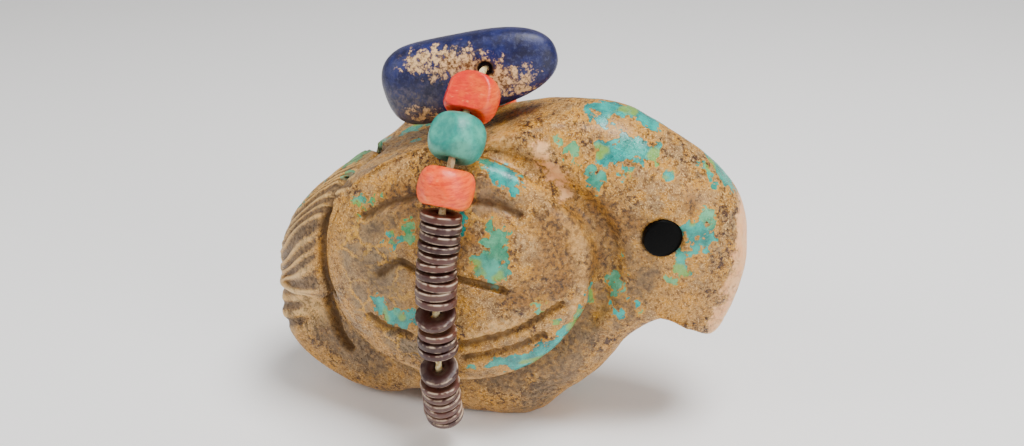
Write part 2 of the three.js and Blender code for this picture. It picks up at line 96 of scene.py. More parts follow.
# Mouth line: station, the share where it starts, half width and depth
MOUTH = (BEAK + 0.42, 1.55, 0.22, 0.12)
STROKE_HALF, STROKE_DEPTH = 0.55, 0.55
STROKES = {
    RIGHT: [
        [(9.8, 24.6), (7.2, 26.1), (4.5, 26.9)], [(-0.5, 26.9), (-3.1, 26.5), (-5.1, 25.6)],
        [(8.2, 19.2), (6.2, 20.7), (4.7, 20.2)], [(0.8, 19.5), (-1.9, 18.9), (-3.7, 18.4)],
        [(9.7, 14.2), (7.8, 13.3), (5.6, 12.8)], [(0.9, 12.2), (-4.8, 14.1), (-9, 16.5)],
        [(0.3, 10.7), (-4.2, 11.9), (-7.3, 13.3)],
    ],
    LEFT: [[(7, 22.6), (8.3, 21.9), (9.8, 21.4)], [(8.3, 26.1), (9.4, 25.7), (10.5, 25.1)]],
}

# Turquoise in the stone: streaks from one point to another, half width, and how green
TURQUOISE = [
    # crown and forehead, right side
    (-1, -11, 33.8, -0.5, -13, 33.6, 1.1, 0), (-0.5, -13, 33.5, 0, -16.2, 32.2, 1.3, 0),
    (-2.6, -11.6, 33.2, -2.8, -12.6, 32.8, 0.7, 0), (-4.7, -12.6, 30.3, -4.5, -13.5, 30.6, 1.2, 0),
    (-3.9, -14.3, 31, -3.5, -16.5, 30.5, 1, 0.1), (-5.5, -11.5, 28.5, -5.5, -11.7, 28, 0.9, 0.3),
    (-5, -9.5, 30.5, -5, -9.5, 30.5, 0.6, 0.8), (-5, -14.5, 29, -5, -14.5, 29, 0.45, 0.3),
    (-1.5, -21, 28.5, -2.2, -22, 27, 0.6, 0.2), (-4.5, -21.5, 25, -4.5, -21.7, 24.2, 0.7, 0.7),
    (-5, -21, 23.6, -5, -21.5, 22.5, 1.1, 0.1), (-5.3, -20, 20.8, -5.3, -20, 19.7, 0.75, 0.2),
    (-5.5, -19, 18.5, -5.5, -19, 18.5, 0.45, 0.9), (-6, -13.5, 21.2, -6, -13.6, 20, 0.55, 0.6),
    (-5.7, -13.4, 18.3, -5.7, -13.5, 17.2, 1, 0.6), (-4.7, -15, 15.1, -4.7, -15.2, 15.4, 0.85, 0),
    (-4.2, -16.4, 15.7, -4.2, -16.6, 15.4, 0.5, 0.2), (-6, -14, 15, -6, -14, 14.8, 0.75, 0),
    (-6.3, -11.2, 16.8, -6.3, -11, 15.2, 0.95, 0), (-7, -11, 15.5, -7.4, -10.3, 13.6, 0.6, 0),
    # right wing and its lower edge
    (-7.3, -3.2, 29.3, -7.8, -4.2, 28.8, 1.2, 0), (-7, -1.7, 30.2, -7, -1.5, 30, 0.7, 0.4),
    (-9.5, -3, 23.9, -10, -3, 22.5, 1.1, 0.6), (-10, -2.3, 20.8, -10, -3, 20.3, 1.35, 0.3),
    (-10, 7, 22, -10, 6.3, 23.2, 0.5, 0.1), (-10, 8.5, 16.2, -10, 8, 15.2, 0.75, 0.1),
    (-10, 7.5, 14.6, -10.5, 5.5, 14.8, 0.95, 0.1), (-8.6, 10.5, 25.8, -8.7, 10.4, 25.3, 0.6, 0.4),
    (-8.7, 8.6, 26.3, -8.7, 8.4, 26.6, 0.4, 0.9), (-9, -7, 16.5, -9, -7, 16.4, 0.45, 0.5),
    (-8.5, -8.5, 15, -8.5, -8.5, 15, 0.4, 0.3), (-9.5, -2.5, 10, -9.5, -3.2, 10.2, 0.6, 0.1),
    (-9.5, 0, 9.5, -9.5, 0, 9.5, 0.4, 0.3), (-9.5, 0, 25.5, -9.5, 0, 24, 0.4, 0.1),
    (-10, 5, 24.5, -10, 5, 23.5, 0.6, 1), (-7.7, -10, 13.8, -8, -8.6, 11.9, 0.9, 0),
    (-8, -8.4, 11.6, -8.6, -6, 10.4, 1.35, 0), (-8.6, -6, 10.2, -8.9, -4.7, 9.7, 1.45, 0),
    (-3.5, 13.5, 26, -2.5, 13.5, 26, 0.5, 0.6),
    # fan, left side
    (4, 12.5, 27, 6.5, 13, 24.5, 1.5, 0.6), (1.2, 14.5, 26.5, 4, 14, 25.5, 1.3, 0.9),
    (8.8, 11.5, 21, 8.8, 12.5, 18.5, 0.7, 0.1), (3.2, 18, 22.5, 3.4, 18.8, 21.2, 0.8, 0.1),
    (6, 16.5, 19.5, 6.4, 17, 18, 0.9, 0.1), (7, 16, 17.5, 6.4, 17.5, 15.6, 0.8, 0.1),
    (2, 21, 18, 2, 21.4, 17, 0.8, 0.1), (4.4, 19.5, 16.6, 3.6, 20.4, 15.6, 0.8, 0.1),
    # crown, forehead and cheek, left side
    (0, -23, 27, 2.2, -20.8, 28.5, 1.7, 0.2), (2, -10.5, 33.5, 3, -11, 32.5, 0.8, 0.2),
    (3, -13, 32, 3.5, -13.5, 30.5, 1, 0.3), (3.5, -15.5, 29.5, 3.5, -15, 29.5, 0.5, 0.3),
    (4.5, -15, 28, 4.5, -15, 28, 0.75, 0.4), (4, -22, 20, 4, -22, 19, 0.6, 0.3),
    (4, -21.5, 17.5, 5, -18.5, 17, 1.4, 0.2), (4, -20.5, 16, 3.5, -21.5, 14, 1, 0.2),
    (5.5, -16, 18.5, 5.5, -15.5, 17, 0.6, 0.3), (4.5, -20.5, 21.5, 4.5, -20.5, 21.5, 0.4, 0.3),
    # neck, shoulder and breast, left side
    (4, -5.5, 32.5, 4.5, -4.5, 32, 1, 0.3), (4.5, -4.5, 32, 6, -3.5, 30, 1, 0.3),
    (6.5, -1.5, 29, 7, 0, 29, 0.8, 0.1), (6, -8, 26, 6, -8, 26, 0.8, 0.5),
    (6, -7, 24.5, 6, -6.5, 21, 0.8, 0.3), (6, -6.5, 21, 7, -5, 18, 0.8, 0.2),
    (7, -5, 18, 6.5, -4, 13.5, 0.6, 0.2), (7, -4.5, 22, 7, -4.5, 21.5, 0.5, 0.3),
    (8.5, -2.3, 17.5, 9, -1, 16, 0.9, 0.3), (8.5, -1, 14.5, 8.5, -0.5, 13, 0.5, 0.3),
    (6, -0.5, 5.5, 6, 4, 6, 1.7, 0.9), (5.5, -1.5, 4, 5.5, 3, 3.5, 1.8, 0.9),
    (2, -9.5, 4, 4.5, -5, 3.5, 1, 0.6), (6.5, -4, 10.5, 6.5, -4, 9.5, 0.45, 0.3),
    # left wing, rump and fan
    (8.5, 7, 26.5, 9, 7, 25, 0.8, 0.2), (9, 8.5, 24, 9, 9, 22, 1.1, 0.2),
    (9, 10.5, 20.5, 9, 10.5, 19.5, 0.9, 0.2), (9, 10, 18, 9, 11, 17, 1, 0.3),
    (8, 0.5, 27, 6.5, 3.5, 30, 0.7, 0.2), (5, 15, 24.5, 2, 14, 26, 1.5, 0.8),
    (4.5, 7, 29, 3.5, 9, 28.5, 0.8, 0.3), (4.5, 19, 20.5, 4.5, 20, 19.5, 0.7, 0.3),
    (3, 21, 18, 2.5, 21.5, 17.5, 0.5, 0.3), (2.5, 17.5, 23.5, 2.5, 18, 23, 0.5, 0.2),
    (-0.5, 17, 24, -1.5, 19.5, 21.5, 0.5, 0.2), (6, 19.5, 16, 7, 16.5, 15, 0.8, 0.2),
]
# Smooth pinkish stone: beak front, left breast, right neck
PINK = [
    (1.6, -25.2, 22, 2, -23.5, 12.5, 3.4), (-1, -26, 21.5, -1, -24.5, 12, 3),
    (6, -12, 22, 6, -11.5, 18, 2.8), (6, -11.5, 18, 6.3, -10, 11, 3.7),
    (6, -9.5, 11, 6, -8.5, 7.5, 2.7), (-5, -6.5, 30.5, -6, -9, 27, 0.7),
]
# Golden veins round grey-brown cells: rear, lower face and top of the right wing
VEINED = [
    (-10, 9, 21, -10, 8.5, 17, 3.6), (-9.5, 7, 12, -9.5, 3, 11.5, 1.8),
    (-9.5, -1, 27.5, -9.5, -2, 26, 1.6),
]
# Rusty dark grains: right wing and neck, over the right eye, left wing and cheek, back
RUSTY = [
    (-8, -8, 24.5, -8.8, -8.6, 19, 2), (-9.5, -4.5, 17.5, -9.5, -6.5, 18, 1.4),
    (-6.5, -10.3, 25.5, -6, -13.8, 24, 1.8), (-5, -20.7, 27, -5, -20.7, 25.8, 0.9),
    (-6, -11.6, 21, -6, -11.6, 18.8, 1.2), (-9, 2.5, 27.5, -8.5, 6, 27, 1.4),
    (-10, -0.5, 23.5, -10, 0.5, 21, 1.2), (7.5, 2, 25, 8.5, 4.5, 21, 1.8),
    (6, -12, 26, 6, -14.5, 24, 1.6), (0, -4, 33, 0, 2, 31, 1.5),
]
# Smooth grey-brown stone: below both wings, right wing's rear, right cheek, tail
GREY = [
    (-6, -10.8, 12.3, -6, -8.5, 8, 1.9), (-6, -8, 7, -4.5, -5, 2.5, 1.7),
    (-10, 9.5, 19.5, -10, 8.5, 17.5, 1.5), (-9.5, 8, 24, -9.5, 5.5, 25, 1.3),
    (-3, 17, 8, -4, 12.5, 5.5, 2.4), (-5.5, -16.5, 19, -5.5, -14.5, 14.2, 1.2),
    (-8.5, -4, 26.5, -8.5, -1.5, 28.5, 1.2), (6, 1, 10, 6.5, 6, 9, 2),
    (3, 16, 8, 4, 12, 6, 2.2),
]
# Pale stone, a painted highlight: right wing's front ridge, shoulder and lower face, left wing's front
PALE = [
    (-6.2, -5.3, 30.6, -6.8, -8.3, 28.2, 1), (-5.5, -3, 31.8, -3.5, -2, 32.3, 1.2),
    (-7.2, -9.4, 26.2, -7.8, -10.3, 21.5, 0.8), (-7.9, -10.6, 20.5, -7.9, -10.9, 16.8, 0.6),
    (-8.8, -6.2, 23.2, -8.8, -6.2, 22.8, 0.9), (-9.8, -4.6, 14.8, -9.8, -1, 13.2, 1),
    (7.4, -3.6, 24.5, 7.4, -4, 18, 0.8),
]

# Eyes: radius, turn forward in degrees, the stone's surface over the disc's middle, depth; the
# seat's play and depth
EYE_RADIUS, EYE_TURN, EYE_RISE, EYE_DEPTH = 1.85, 20, 0.75, 1.7
SEAT_PLAY, SEAT_DEPTH = 0.12, 0.7

# Nugget: its widths, heights and bluntness are given at the front and at the back
LAPIS = {"y": 1.15, "z": 36.2, "length": 17.4, "width": (4.0, 7.0), "height": (7.0, 8.2), "tilt": 15,
         "blunt": (2.8, 6.0)}
LAPIS_HOLE = (-0.8, 37.2)
LAPIS_ROWS, LAPIS_COLUMNS = 120, 128
# Its speckled band, as streaks before it is tilted: x, y, z at both ends and half width
LAPIS_BAND = [
    (-3.0, 4.0, 3.1, -2.6, 0.5, 1.7, 0.9), (-2.6, 0.5, 1.7, -2.4, -5.6, -1.8, 1.15),
    (-3.2, 5.6, -2.4, -3.0, 4.0, -3.0, 0.3),
]

# Thread: radius, length of a full twist; knot's radius and gap from the last disc; the places
# inside the nugget and where it comes out
THREAD_RADIUS, THREAD_TWIST = 0.34, 3.2
KNOT_RADIUS, KNOT_GAP = 0.72, 0.9
THREAD_MIDDLE, THREAD_INSIDE, THREAD_EXIT = (0, -0.8, 37.2), (1.5, -0.75, 37.15), (3.3, -0.7, 37.0)
THREAD_COLUMNS, THREAD_ROWS = 14, 800

# Radius of the bores
BEAD_BORE, DISC_BORE = 0.6, 0.55
# Beads: radius, radius of the face and length
BEADS = {"coral": (2.6, 1.6, 3.55), "turquoise": (2.6, 1.2, 4.15)}
# Rubbed flats of the beads: the way each faces and its distance from the bead's middle
FLATS = {
    (RIGHT, 0): [((-0.8, 0.05, 0.6), 1.6), ((-0.2, 0.9, 0.4), 2.35)],
    (RIGHT, 1): [((-0.62, 0.42, 0.66), 2.15), ((-0.9, -0.3, -0.2), 2.35), ((-0.3, -0.9, 0.3), 2.4)],
    (RIGHT, 2): [((-0.9, 0.1, 0.1), 2.4)],
    (LEFT, 0): [((0.5, -0.6, 0.5), 2.3)],
    (LEFT, 1): [((0.8, 0.5, 0.3), 2.4)],
    (LEFT, 2): [((0.9, -0.3, 0.2), 2.4)],
}
DISC_RADIUS, DISC_THICKNESS = 1.95, 0.8
DISC_COUNT = {LEFT: 19, RIGHT: 21}
# How much painted highlight a disc gets along its profile, and points round it
DISC_RIM_HIGHLIGHT = (0, 0, 0.1, 1, 0.05, 0, 0.7, 0.1, 0, 0)
DISC_COLUMNS = 30
# Discs that hang askew, with their upper face turned outward, and by how much
ASKEW = {RIGHT: (11, 15), LEFT: ()}
ASKEW_LEAN = 0.36

# Studio: half the floor's width, the sky, lamps as name, place in millimetres, size and power,
# and the place they aim at; the rest in metres and watts
FLOOR_HALF = 3.0
SKY, SKY_STRENGTH = (1.0, 0.99, 0.98, 1), 0.42
LAMPS = (
    ("top lamp", (-40, -90, 300), 0.12, 1.25),
    ("front lamp", (-170, -240, 130), 0.12, 0.35),
    ("rear lamp", (-110, 240, 190), 0.14, 0.3),
)
LAMP_AIM = (0, 0, 0.018)

# Camera: where the photograph's third view was taken from
AZIMUTH, ELEVATION, ROLL, DISTANCE = -77.75, 25.05, -1.4, 105.5
TARGET = (0.0, -2.55, 20.66)
LENS, SENSOR, NEAREST = 36.9, 36.0, 0.002


def smooth(k):
    """Eases from 0 to 1: three squares less two cubes of k, held at both ends."""
    k = np.clip(k, 0, 1)
    return k * k * (3 - 2 * k)


def mix(a, b, k):
    """a where k is 0, b where it is 1, and in proportion between."""
    return a + (b - a) * k


def signed_power(values, power):
    """Each value's size raised to a power, with its sign kept."""
    return np.sign(values) * np.abs(values) ** power


def unit(vectors):
    """A vector, or each of several, made one long."""
    return vectors / np.linalg.norm(vectors, axis=-1, keepdims=True)


def periodic(values, station, turn=0.0):
    """Catmull-Rom cubic through a closed list at fractional stations; each lap adds turn."""
    i = np.floor(station).astype(int)
    k = station - i
    count = len(values)
    a, b, c, d = (values[(i + j) % count] + turn * ((i + j) // count) for j in (-1, 0, 1, 2))
    bend = (2 * a - 5 * b + 4 * c - d) * k**2 + (3 * b - a - 3 * c + d) * k**3
    return 0.5 * (2 * b + (c - a) * k + bend)


def round_oval(values, angle):
    """Value at an angle of the oval, given at rear, top, front and bottom, by half cosines."""
    quarter = (angle % 360) / 90
    i = np.floor(quarter).astype(int)
    ring = np.array(values)
    return mix(ring[i % 4], ring[(i + 1) % 4], (1 - np.cos(np.pi * (quarter - i))) / 2)


def wing_half_width(side, angle, share):
    """Half width over the wing: from its edge it swells to the reach as one less share to
    the power of the fullness, to the power 0.8."""
    full = round_oval(FULLNESS, angle)
    edge = round_oval(EDGE[side], angle)
    return mix(edge, REACH[side], np.maximum(0, 1 - np.minimum(share, 1) ** full) ** 0.8)


def flute_sweep(station):
    """How far the fan's lines slant: a half sine over the fan."""
    on = (station > FAN_END) & (station < RUMP)
    return np.where(on, FLUTE_SWEEP * np.sin(np.pi * (station - FAN_END) / (RUMP - FAN_END)), 0)


def flute_hollow(station, across):
    """0 on a ridge of the fan and 1 in a hollow: a raised cosine to the power 0.7. Its phase
    is the place along the rim, less a share of it that grows as the logarithm of the
    distance from the middle, plus whole turns that die away from the middle as an
    exponential, so that the flutes run lengthwise there and spread towards the wings. Sines
    of the phase and of the place make the widths uneven."""
    along = FLUTES * (station - FAN_END) / (RUMP - FAN_END)
    out = np.sqrt(across ** 2 + 0.2)
    turns = along * (1 - FLUTE_SPREAD * np.log1p(out / 3)) + FLUTE_TURNS * np.exp(-out / FLUTE_REACH)
    turns = turns + FLUTE_WIDTHS * np.sin(2.1 * turns) + FLUTE_WANDER * np.sin(0.9 * across + along)
    hollow = (0.5 - 0.5 * np.cos(2 * np.pi * turns)) ** 0.7
    fade = smooth((station - FAN_END + 0.1) / 0.3) * smooth((RUMP + 0.15 - station) / 0.4)
    return fade * hollow


def tail_hollow(station, share):
    """0 on a ridge of the tail and 1 in a hollow: raised cosines across its upper end, and
    fainter ones along it."""
    across = 0.5 - 0.5 * np.cos(2 * np.pi * TAIL_FLUTES * (station - TAIL_REAR) / (TAIL_TOP - TAIL_REAR))
    across = across * smooth((station - TAIL_REAR - 0.3) / 0.5) * smooth((share - 1.22) / 0.3)
    along = 0.35 * (0.5 - 0.5 * np.cos(2 * np.pi * TAIL_LINES * share)) * smooth((share - 1.15) / 0.2)
    fade = smooth((station - TAIL_REAR + 1.2) / 0.8) * smooth((TAIL_TOP + 0.5 - station) / 0.4)
    return fade * np.maximum(across, along)


def body_point(station, side, share):
    """Place on the body, and how deep in a flute. Share 0 to 1 runs out over the wing's oval;
    1 to 2 runs over a superellipse from the oval's edge to the outline's rim. At the cheek the
    lines are lifted as a parabola, most at the beak's tip, so that they don't cross."""
    angle = periodic(STATIONS[:, 2], station, 360)
    turn = np.radians(angle)
    half_height = np.where(np.sin(turn) > 0, RISE[side], DROP[side])
    inside = np.minimum(share, 1)
    oval_y = MIDDLE[side][0] + inside * HALF_LENGTH[side] * np.cos(turn)
    oval_z = MIDDLE[side][1] + inside * half_height * np.sin(turn)
    wing_x = wing_half_width(side, angle, share)
    across = np.pi / 2 * np.clip(share - 1, 0, 1)
    power = 2 / periodic(STATIONS[:, 4], station)
    out = np.sin(across) ** power
    step = round_oval(STEP[side], angle) * smooth((share - 1) / LEDGE)
    base = round_oval(EDGE[side], angle) - step
    band_x = mix(base, periodic(STATIONS[:, 3], station), smooth(out / 0.4)) * np.cos(across) ** power
    end = station - flute_sweep(station)
    foot = smooth(1.5 - np.abs(station - FOOT))
    rim_y = periodic(STATIONS[:, 0], end)
    rim_z = periodic(STATIONS[:, 1], end) - FOOT_DROP * foot
    fan = flute_hollow(station, band_x)
    tail = tail_hollow(station, share)
    push = -(FLUTE_DEPTH * fan + TAIL_DEPTH * tail) * smooth((share - 1.05) / 0.25)
    push = push * (1 - 0.35 * smooth((share - 1.6) / 0.4))
    long = np.hypot(rim_y - oval_y, rim_z - oval_z)
    k = out * (1 + push / np.maximum(long, 1))
    on_wing = share <= 1
    x = np.where(on_wing, wing_x, band_x)
    y = np.where(on_wing, oval_y, oval_y + (rim_y - oval_y) * k)
    lift = CHEEK_LIFT[side] * np.exp(-(station - BEAK_TIP) ** 2) * 4 * out * (1 - out)
    z = np.where(on_wing, oval_z, np.maximum(0, oval_z + (rim_z - oval_z) * k) + lift)
    hollow = np.where(on_wing, 0, np.maximum(fan, tail)) * smooth((share - 1.03) / 0.2)
    return np.stack([side * x, y, z], -1), hollow


def wing_face(side, place):
    """Point of a wing's face over y, z: its half width at that angle and share of the oval."""
    across = (place[:, 0] - MIDDLE[side][0]) / HALF_LENGTH[side]
    rise = place[:, 1] - MIDDLE[side][1]
    up = np.where(rise > 0, rise / RISE[side], rise / DROP[side])
    width = wing_half_width(side, np.degrees(np.arctan2(up, across)), np.hypot(across, up))
    return np.column_stack([side * width, place])


def eased_path(corners, count):
    """Catmull-Rom curve through corners, sampled evenly over them; its ends run straight."""
    corners = np.array(corners, float)
    held = np.vstack([2 * corners[0] - corners[1], corners, 2 * corners[-1] - corners[-2]])
    at = np.linspace(0, len(corners) - 1, count)
    i = np.minimum(at.astype(int), len(corners) - 2)
    k = (at - i)[:, None]
    a, b, c, d = (held[i + j] for j in range(4))
    bend = (2 * a - 5 * b + 4 * c - d) * k**2 + (3 * b - a - 3 * c + d) * k**3
    return 0.5 * (2 * b + (c - a) * k + bend)


def nearness(points, path):
    """Distance of each point to the nearest sample of a path."""
    best = np.full(len(points), np.inf)
    for spot in path:
        np.minimum(best, ((points - spot) ** 2).sum(1), out=best)
    return np.sqrt(best)


def streak_distance(points, streaks):
    """Distance to each streak less its half width, negative inside it: (streaks, points)."""
    found = []
    for ax, ay, az, bx, by, bz, half, *_ in streaks:
        start = np.array([ax, ay, az])
        run = np.array([bx, by, bz]) - start
        k = np.clip((points - start) @ run / max(run @ run, 1e-6), 0, 1)
        found.append(np.linalg.norm(points - start - k[:, None] * run, axis=1) - half)
    return np.array(found)


def unevenness(points, waves, length, height):
    """Sum of sine waves of about one length in random directions, scaled to a height."""
    push = np.zeros(len(points))
    for _ in range(waves):
        way = random.normal(size=3)
        way *= 2 * np.pi / (length * random.uniform(0.7, 1.4) * np.linalg.norm(way))
        push += np.sin(points @ way + random.uniform(0, 2 * np.pi))
    return push * height / np.sqrt(waves)


def grid_normals(grid):
    """Unit normals of a grid that wraps along its second axis: cross product of steps."""
    down = np.gradient(grid, axis=0)
    round_ = np.roll(grid, -1, 1) - np.roll(grid, 1, 1)
    normal = np.cross(round_, down)
    normal /= np.maximum(np.linalg.norm(normal, axis=2, keepdims=True), 1e-9)
    middle = grid.mean((0, 1))
    return normal if ((grid - middle) * normal).sum() > 0 else -normal


def skin(grid, poles=True):
    """Points and faces over a grid that wraps along its second axis. With poles its first and
    last rows are single points; without them it wraps along its first axis too."""
    rows, columns = grid.shape[:2]
    first = np.arange(columns)
    after = (first + 1) % columns
    if poles:
        points = np.vstack([grid[0, :1], grid[1:-1].reshape(-1, 3), grid[-1, :1]])
        starts = 1 + columns * np.arange(rows - 3)[:, None]
        nexts = starts + columns
        last = 1 + columns * (rows - 3)
        top = np.stack([np.zeros_like(first), 1 + after, 1 + first], -1)
        low = np.stack([np.full_like(first, len(points) - 1), last + first, last + after], -1)
        caps = top.tolist() + low.tolist()
    else:
        points = grid.reshape(-1, 3)
        starts = columns * np.arange(rows)[:, None]
        nexts = (starts + columns) % (rows * columns)
        caps = []
    quads = np.stack([starts + first, starts + after, nexts + after, nexts + first], -1)
    return points, quads.reshape(-1, 4).tolist() + caps


def joined(parts):
    """Several (points, faces) as one."""
    points, faces, start = [], [], 0
    for some, ring in parts:
        points.append(some)
        faces += [[start + i for i in face] for face in ring]
        start += len(some)
    return np.vstack(points), faces


def enclosed(points, faces):
    """Signed volume: sum over each face's fan of triangles of the triple product."""
    total = 0.0
    for corners in (3, 4):
        ring = np.array([f for f in faces if len(f) == corners])
        for j in range(1, corners - 1):
            if len(ring):
                a, b, c = points[ring[:, 0]], points[ring[:, j]], points[ring[:, j + 1]]
                total += (a * np.cross(b, c)).sum()
    return total


def piece(name, surface, look, slot, nodes, **values):
    """Smooth-shaded object from (points, faces) in millimetres, faces turned outward, with a
    number per point for each value; it stands for the CAD nodes and rides on the root."""
    points, faces = surface
    if enclosed(points, faces) < 0:
        faces = [face[::-1] for face in faces]
    mesh = bpy.data.meshes.new(name)
    mesh.from_pydata((points * MM).tolist(), [], faces)
    mesh.polygons.foreach_set("use_smooth", [True] * len(mesh.polygons))
    for key, numbers in values.items():
        mesh.attributes.new(key, "FLOAT", "POINT").data.foreach_set("value", np.ravel(numbers))
    mesh.materials.append(look)
    mesh.update()
    thing = bpy.data.objects.new(name, mesh)
    bpy.context.scene.collection.objects.link(thing)
    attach(thing, "root")
    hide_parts(*nodes)
    return thing


def srgb(red, green, blue):
    """Display colour of 0 to 255 as a linear one, a little deepened, with alpha 1."""
    linear = (np.array([red, green, blue]) / 255) ** 2.4
    vivid = linear.mean() + 1.3 * (linear - linear.mean())
    return (*np.clip(vivid, 0.001, 1).tolist(), 1.0)


class Look:
    """A material whose nodes are added one by one; its place is in millimetres."""

    def __init__(self, name):
        self.material = bpy.data.materials.new(name)
        self.material.use_nodes = True
        self.tree = self.material.node_tree
        self.tree.nodes.clear()
        place = self.node("ShaderNodeTexCoord", out="Object")
        self.place = self.vector("SCALE", place, Scale=1 / MM)

    def node(self, kind, feeds=(), out=0, **settings):
        """One output of a new node, its inputs fed by sockets or set to constants."""
        node = self.tree.nodes.new(kind)
        for key, value in settings.items():
            setattr(node, key, value)
        for key, value in dict(feeds).items():
            if isinstance(value, bpy.types.NodeSocket):
                self.tree.links.new(value, node.inputs[key])
            else:
                node.inputs[key].default_value = value
        return node.outputs[out]

    def vector(self, operation, a, b=None, **feeds):
        """A vector sum, difference, product or scaling."""
        inputs = {0: a, **feeds}
        if b is not None:
            inputs[1] = b
        return self.node("ShaderNodeVectorMath", inputs, operation=operation)

    def maths(self, operation, a, b):
        """A number from two."""
        return self.node("ShaderNodeMath", {0: a, 1: b}, operation=operation)

    def times(self, a, b):
        """a times b."""
        return self.maths("MULTIPLY", a, b)

    def plus(self, a, b):
        """a plus b."""
        return self.maths("ADD", a, b)

    def noise(self, scale, detail=3.0, rough=0.6, place=None, out=0):
        """Cloudy noise, about one cloud to a millimetre at scale 1."""
        feeds = {"Vector": place or self.place, "Scale": scale, "Detail": detail, "Roughness": rough}
        return self.node("ShaderNodeTexNoise", feeds, out=out)

    def cells(self, scale, place=None, out=0, feature="F1"):
        """Distance to the nearest random point, or to the nearest edge between cells."""
        feeds = {"Vector": place or self.place, "Scale": scale}
        return self.node("ShaderNodeTexVoronoi", feeds, out=out, feature=feature)

    def span(self, value, low, high, start=0.0, end=1.0):
        """Eases from start to end as the value goes from low to high."""
        feeds = {"Value": value, "From Min": low, "From Max": high, "To Min": start, "To Max": end}
        return self.node("ShaderNodeMapRange", feeds, interpolation_type="SMOOTHSTEP")

    def blend(self, factor, a, b):
        """Colour a where the factor is 0, b where it is 1."""
        return self.node("ShaderNodeMix", {0: factor, 6: a, 7: b}, out=2, data_type="RGBA")

    def value(self, name):
        """A number stored at the mesh's points."""
        return self.node("ShaderNodeAttribute", out="Fac", attribute_name=name)

    def close(self, colour, roughness, height=None, relief=0.0, **extra):
        """Ends the material with its surface; relief is the bump's height in millimetres."""
        feeds = {"Base Color": colour, "Roughness": roughness, **extra}
        if height is not None:
            feeds["Normal"] = self.node("ShaderNodeBump", {"Height": height, "Distance": relief * MM})
        surface = self.node("ShaderNodeBsdfPrincipled", feeds)
        end = self.tree.nodes.new("ShaderNodeOutputMaterial")
        self.tree.links.new(surface, end.inputs["Surface"])
        return self.material


